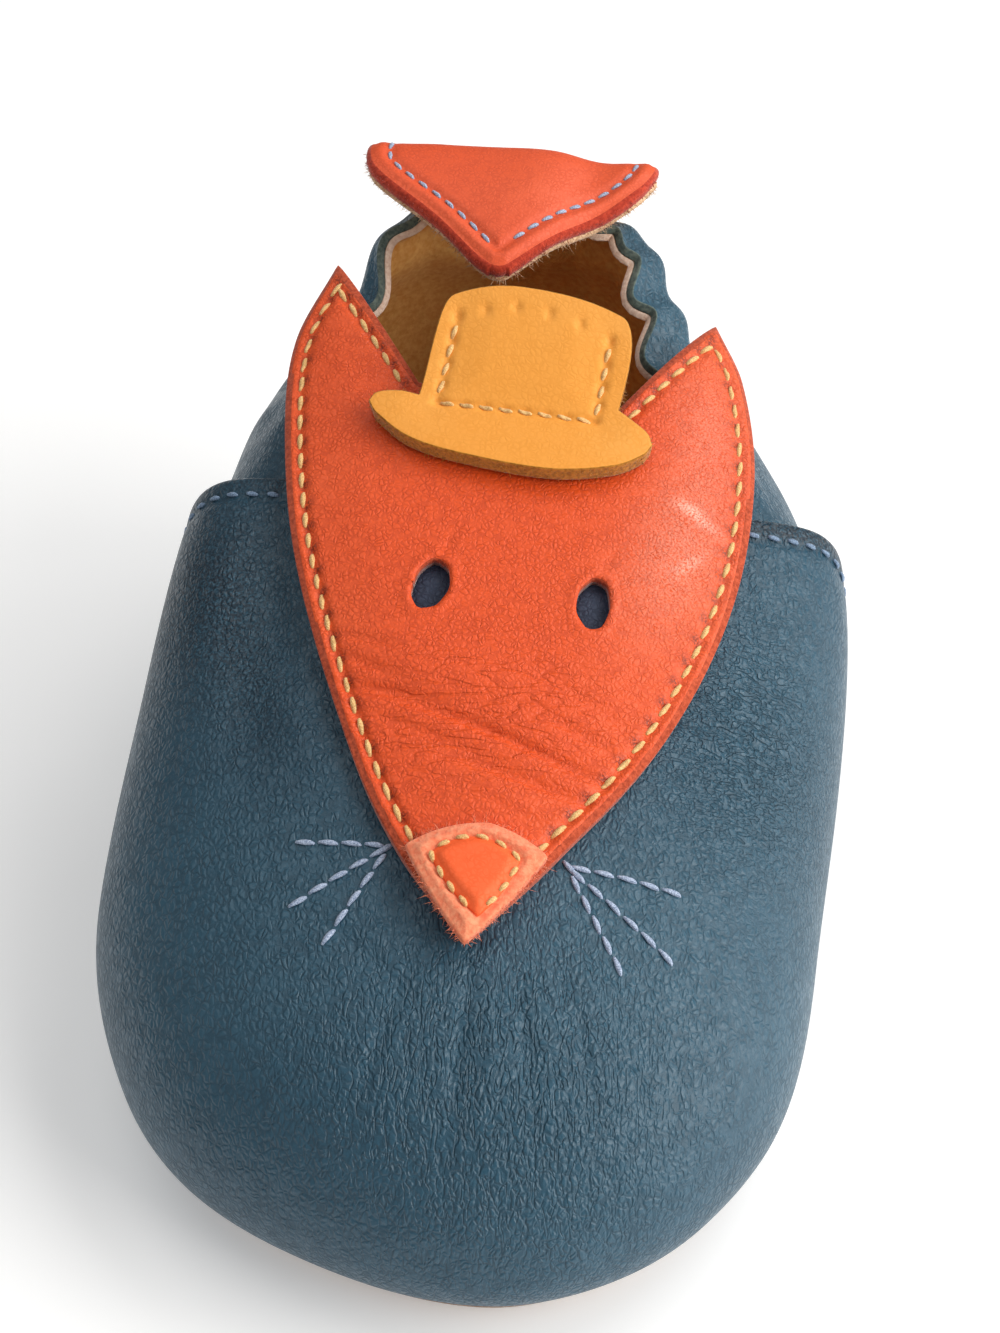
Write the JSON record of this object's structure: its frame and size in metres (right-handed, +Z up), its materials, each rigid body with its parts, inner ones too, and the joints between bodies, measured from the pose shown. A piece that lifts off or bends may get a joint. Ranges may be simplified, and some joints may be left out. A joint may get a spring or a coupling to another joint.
{
  "type": "crib shoe",
  "caption": "Soft leather crib shoe for the right foot, with an animal face sewn on the vamp, a gathered collar and a heel tab folded forward.",
  "frame": {"origin": "middle of the shoe's outer box, on the floor it stands on", "axes": "+Z up, -Y towards the toe, +X towards the inner (big toe) side"},
  "size_m": [0.0729, 0.118, 0.0597],
  "materials": {
    "sole_suede": "matt suede",
    "lining_suede": "matt suede",
    "upper_leather": "soft pebbled grain, low sheen",
    "face_leather": "fine grain, low sheen",
    "nose_suede": "fuzzy suede",
    "hat_leather": "smooth, low sheen, raw edges",
    "tab_leather": "fine grain, low sheen",
    "tab_lining": "matt suede"
  },
  "bodies": {
    "root": {"sole": "sole_suede", "insole": "lining_suede", "upper": "upper_leather", "face_panel": "face_leather", "nose_patch": "nose_suede", "hat": "hat_leather", "heel_tab": "tab_leather", "heel_tab_lining": "tab_lining"}
  },
  "joints": []
}
